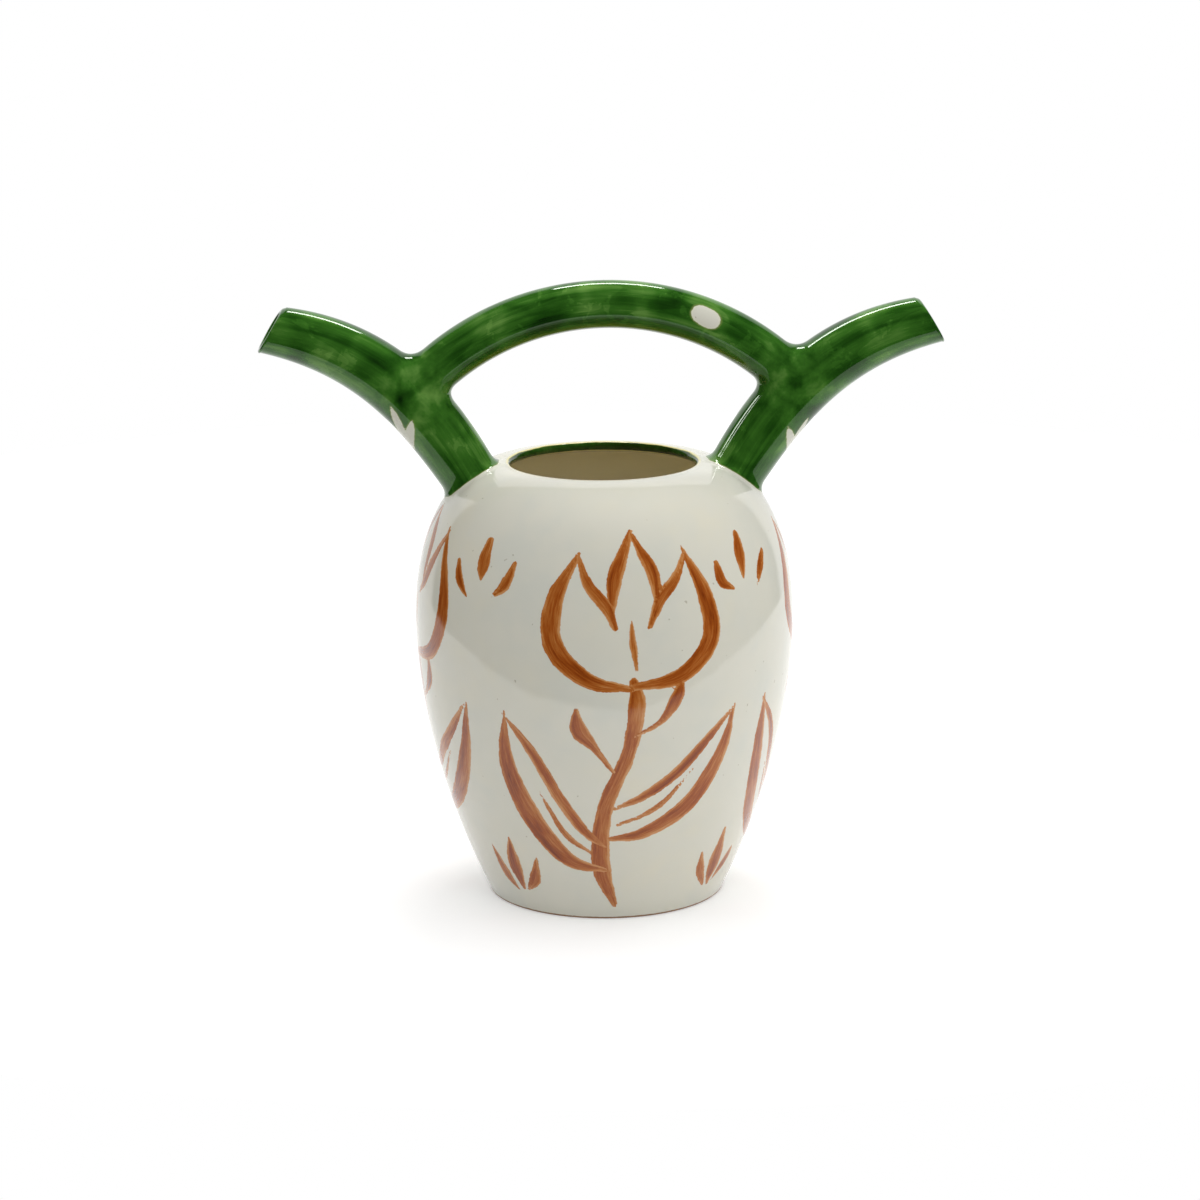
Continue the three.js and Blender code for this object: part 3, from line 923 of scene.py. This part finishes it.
def strokeCoat(wire, place, layer, below):
    # one layer of rust brushwork: darker down the middle, watery at its edges, with the brush's streaks
    inside, share, along = attributeOf(wire, f"stroke{layer}").parts()
    shaky = place.noise(0.16, 2.0) * 1.5 + place.noise(0.75, 1.0) * 0.6 - 1.05
    inside = inside + shaky
    mask = inside.step(-0.1, 0.22)
    path = wire.make("CombineXYZ", {}, {0: share * 2.6, 1: along * 0.03, 2: layer * 7.0})
    hair = path.noise(2.6, 5.0, 0.7)
    load = wire.make("CombineXYZ", {}, {0: share * 0.7, 1: along * 0.022, 2: layer * 3.0 + 5}).noise(1.5, 3.0)
    edge = inside.step(0.1, 2.2)
    depth = edge * 0.28 + hair * 0.85 + load * 0.85 + share * 0.09 - 0.58
    stops = [
        (0.16, rustTones["watery"]), (0.86, rustTones["dark"]),
        (0.38, rustTones["light"]), (0.58, rustTones["main"]),
    ]
    paint = wire.make("ValToRGB", {"stops": stops}, {"Fac": depth})
    return mask.over(below, paint), mask


lipBand = {
    "deep": 6.2, "out": 1.5,  # how far under the rim and out over the mouth's edge the green reaches, mm
    "wobble": 2.6,
    "yellow": -2.0,  # where its yellow edge ends, mm from the green's own edge
    "fade": (8, 5),  # between these depths under the rim the yellow edge fades, mm
}
footWiped = (1.7, 1.3)  # between these heights the glaze ends and the wiped foot begins, mm


def potMaterial():
    material, wire = newMaterial("glazedPot")
    place = millimetres(wire)
    x, y, z = place.parts()
    radius = (x * x + y * y) ** 0.5
    color = whiteCoat(place)
    strokeMask = None
    for layer in range(ornament["layers"]):
        color, mask = strokeCoat(wire, place, layer, color)
        strokeMask = mask if strokeMask is None else strokeMask.atLeast(mask)
    # inside, a plain cream glaze
    within = attributeOf(wire, "within").parts()[0]
    color = within.step(0.3, 0.7).over(color, whiteTones["inside"])
    # the green band inside the lip, with a yellow edge where it runs thin
    wobble = place.noise(0.12, 2.0) * lipBand["wobble"] - lipBand["wobble"] / 2
    fromMouth = pot["mouth"] + lipBand["out"] - radius + wobble * 0.5
    band = fromMouth.atMost(z - (pot["rim"] - lipBand["deep"]) + wobble)
    lip = band.step(-0.2, 0.5)
    fadeEnds = [pot["rim"] - below for below in lipBand["fade"]]
    tint = band.step(lipBand["yellow"], 0.4) * z.step(*fadeEnds)
    color = (tint * 0.95).over(color, whiteTones["lip edge"])
    green, _ = greenCoat(place.scaled(1.0, 1.0, 2.0), place.scaled(1.6, 1.6, 1.6), 0.6)
    shaded = place.moved(8, 2, 5).noise(0.03, 2.0).step(0.35, 0.6) * 0.35 + 0.45
    green = shaded.over(green, greenTones["dark olive"])
    color = lip.over(color, green)
    # the foot's edge is wiped bare
    bare = (z + place.noise(0.3, 2.0) * 0.5).step(*footWiped)
    clay = place.noise(0.8, 3.0).over(clayTones["dark"], clayTones["light"])
    color = bare.over(color, clay)
    roughness = bare * glaze["bareRough"] + strokeMask * 0.03 + place.noise(0.03, 2.0) * 0.04 + glaze["gloss"]
    height = place.noise(0.014, 2.0, 0.5) * 0.9 + place.noise(0.09, 2.0) * 0.06 + strokeMask * 0.02
    height = height + bare * place.noise(2.0, 3.0) * 0.12
    finishMaterial(wire, color, roughness, height, glaze["whiteSheen"])
    return material


underLightHeight = (-8.0, -11.5)  # between these heights, from the tube's middle, the green is painted olive as bounce light from the table below, mm
boreBare = (9, 15)  # between these depths in a bore the glaze ends, mm


def tubeMaterial(name, underLight=0.0):
    material, wire = newMaterial(name)
    place = millimetres(wire)
    grain = attributeOf(wire, "grain")
    coat, mark, depth = attributeOf(wire, "coat").parts()
    join = attributeOf(wire, "join").parts()[0]
    green, body = greenCoat(grain, place, join)
    # painted light: along the arch's lower side the green is lightened to olive, standing in for light
    # bounced and mirrored up from the white table
    low = (grain.parts()[0] + place.noise(0.06, 2.0) * 3 - 1.5).step(*underLightHeight)
    green = (low * join.step(0.8, 0.2) * underLight).over(green, greenTones["olive"])
    white = whiteCoat(place)
    shaky = place.noise(0.1, 2.0) * 1.6 - 0.8
    inside = (coat + shaky).atMost(place.noise(0.5, 2.0) * 0.7 - mark - 0.35)
    mask = inside.step(-0.12, 0.2)
    green = (inside.step(1.1, 0.0) * 0.6).over(green, greenTones["thin"])
    white = (inside.step(-0.9, -0.1) * 0.4).over(white, whiteTones["round marks"])
    color = mask.over(white, green)
    # the bore is wiped clay from a little way in
    bore = (depth + place.noise(0.2, 2.0) * 5).step(*boreBare)
    color = bore.over(color, clayTones["dark"])
    roughness = place.noise(0.04, 2.0) * 0.05 + body * 0.02 + bore * glaze["boreRough"] + glaze["tubeGloss"]
    height = grain.scaled(1.0, 1.0, 0.4).noise(0.03, 1.0) * 0.08 + mask * 0.05
    finishMaterial(wire, color, roughness, height, glaze["greenSheen"])
    return material


def dress(piece, material, slot, *nodes):
    piece.data.materials.clear()
    piece.data.materials.append(material)
    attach(piece, "root")
    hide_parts(*nodes)


archUnderLight = 0.7  # how strongly the painted bounce light lightens the arch's lower side to olive

dress(potPiece, potMaterial(), "white_glaze", "pot_body")
dress(leftSpout, tubeMaterial("glazedLeftSpout"), "green_glaze", "left_spout", "left_foot_seam")
dress(rightSpout, tubeMaterial("glazedRightSpout"), "green_glaze", "right_spout", "right_foot_seam")
dress(
    bridgeGlazed, tubeMaterial("glazedBridge", archUnderLight), "green_glaze",
    "bridge_handle", "left_fork_seam", "right_fork_seam",
)
print("materials done")

# The studio, in metres: a white table, a soft fill all round, and lamps that the glaze mirrors.
studio = {
    "tableRadius": 0.89, "tableCentre": (0.03, 0.53, 0), "tableSides": 128, "tableWhite": 0.8,
    "tableGlow": 0.3,  # lifts the table to the white of the backdrop
    "fill": 0.44, "fillRight": 0.33, "fillTop": 0.74,
    "overhead": 0.4, "overheadFrom": (0.6, 1.0),  # more fill from straight above
    "backdrop": 1.0, "room": 0.02,  # what the glaze mirrors behind the vase and in front of it
    "backdropWide": 0.9, "backdropSide": (-0.07, 0.08), "backdropTop": (0.78, 0.66),
}
lamps = {
    "overhead": {
        "place": (0.05, 0.44, 0.98), "target": (0.05, 0, 0.34),
        "wide": 0.38, "deep": 0.11, "white": 17,
    },
    "spoutStrip": {
        "place": (-0.27, 0.44, 0.98), "target": (-0.27, 0, 0.34),
        "wide": 0.26, "deep": 0.11, "white": 17, "shines": "right_spout_glazed",
    },
    "upperStrip": {
        "place": (-0.653, 0.349, 0.650), "target": (0.075, -0.008, 0.268), "roll": -64.5,
        "wide": 0.22, "deep": 0.08, "white": 12.5, "shines": "right_spout_glazed",
    },
    "lowerStrip": {
        "place": (-0.696, 0.164, 0.690), "target": (0.076, -0.010, 0.268), "roll": -65.4,
        "wide": 0.24, "deep": 0.07, "white": 13, "shines": "right_spout_glazed",
    },
}


def raysOf(wire):
    outputs = wire.make("LightPath").socket.node.outputs
    return [Wire(wire.tree, outputs[k]) for k in ("Is Camera Ray", "Is Glossy Ray", "Is Transmission Ray")]


def studioTable():
    deselectAll()
    bpy.ops.mesh.primitive_circle_add(
        vertices=studio["tableSides"], radius=studio["tableRadius"],
        fill_type="NGON", location=studio["tableCentre"],
    )
    table = named("table", smooth=False)
    material, wire = newMaterial("whiteTable")
    camera, glossy, through = raysOf(wire)
    seen = camera.atLeast(glossy).atLeast(through)
    white = studio["tableWhite"]
    diffuse = wire.make("BsdfDiffuse", {}, {"Color": (white, white, white, 1)})
    glow = wire.make("Emission", {}, {"Color": (1, 1, 1, 1), "Strength": studio["tableGlow"]})
    both = wire.make("AddShader", {}, {0: diffuse, 1: wire.make("MixShader", {}, {0: seen, 2: glow})})
    wire.make("OutputMaterial", {}, {"Surface": both})
    table.data.materials.append(material)


def studioRoom():
    # a white backdrop behind and a soft fill all round; mirrored, the room in front is dark
    world = bpy.data.worlds.new("studio")
    world.use_nodes = True
    world.node_tree.nodes.clear()
    bpy.context.scene.world = world
    wire = Wire(world.node_tree)
    x, y, z = wire.make("TexCoord", {}, {}, "Generated").parts()
    camera, glossy, through = raysOf(wire)
    behind = (y - abs(x) * studio["backdropWide"]).step(*studio["backdropSide"])
    backdrop = behind * z.step(*studio["backdropTop"]) * studio["backdrop"]
    mirrored = backdrop.atLeast(studio["room"])
    fill = x * studio["fillRight"] + z.atLeast(0) * studio["fillTop"]
    fill = fill + z.step(*studio["overheadFrom"]) * studio["overhead"] + studio["fill"]
    seen = camera.atLeast(through)
    strength = seen + (1 - seen) * (glossy * mirrored + (1 - glossy) * fill)
    sky = wire.make("Background", {}, {"Color": strength, "Strength": 1.0})
    wire.make("OutputWorld", {}, {"Surface": sky})


def studioLamp(name, lamp):
    # a soft box whose face is so many times as bright as white paper
    light = bpy.data.lights.new(name, "AREA")
    light.shape = "RECTANGLE"
    light.size, light.size_y = lamp["wide"], lamp["deep"]
    light.energy = lamp["white"] * math.pi * lamp["wide"] * lamp["deep"]
    back = Vector(lamp["place"]) - Vector(lamp["target"])
    box = bpy.data.objects.new(name, light)
    bpy.context.scene.collection.objects.link(box)
    facing = back.to_track_quat("Z", "Y").to_matrix().to_4x4()
    roll = Matrix.Rotation(math.radians(lamp.get("roll", 0)), 4, "Z")
    box.matrix_world = Matrix.Translation(lamp["place"]) @ facing @ roll
    if "shines" in lamp:
        # a strip that only shows as a line in one piece's gloss, with nothing else in its way
        box.visible_diffuse = False
        only = bpy.data.collections.new(name)
        only.objects.link(bpy.data.objects[lamp["shines"]])
        box.light_linking.receiver_collection = only
        box.light_linking.blocker_collection = only


studioTable()
studioRoom()
for name, lamp in lamps.items():
    studioLamp(name, lamp)

# The camera, where the photographer stood.
view = {
    "place": (-0.11134, -2.12459, 0.68720), "turn": -2.935, "pitch": 13.732, "roll": -0.443,
    "lens": 116.07, "sensor": 36, "nearest": 0.05, "furthest": 50,
}
camera = bpy.data.cameras.new("camera")
camera.lens = view["lens"]
camera.sensor_width = view["sensor"]
camera.clip_start = view["nearest"]
camera.clip_end = view["furthest"]
cameraObject = bpy.data.objects.new("camera", camera)
bpy.context.scene.collection.objects.link(cameraObject)
cameraObject.matrix_world = (
    Matrix.Translation(view["place"])
    @ Matrix.Rotation(math.radians(view["turn"]), 4, "Z")
    @ Matrix.Rotation(math.radians(90 - view["pitch"]), 4, "X")
    @ Matrix.Rotation(math.radians(view["roll"]), 4, "Z")
)
bpy.context.scene.camera = cameraObject
bpy.context.scene.view_settings.view_transform = "Standard"
print("studio done")
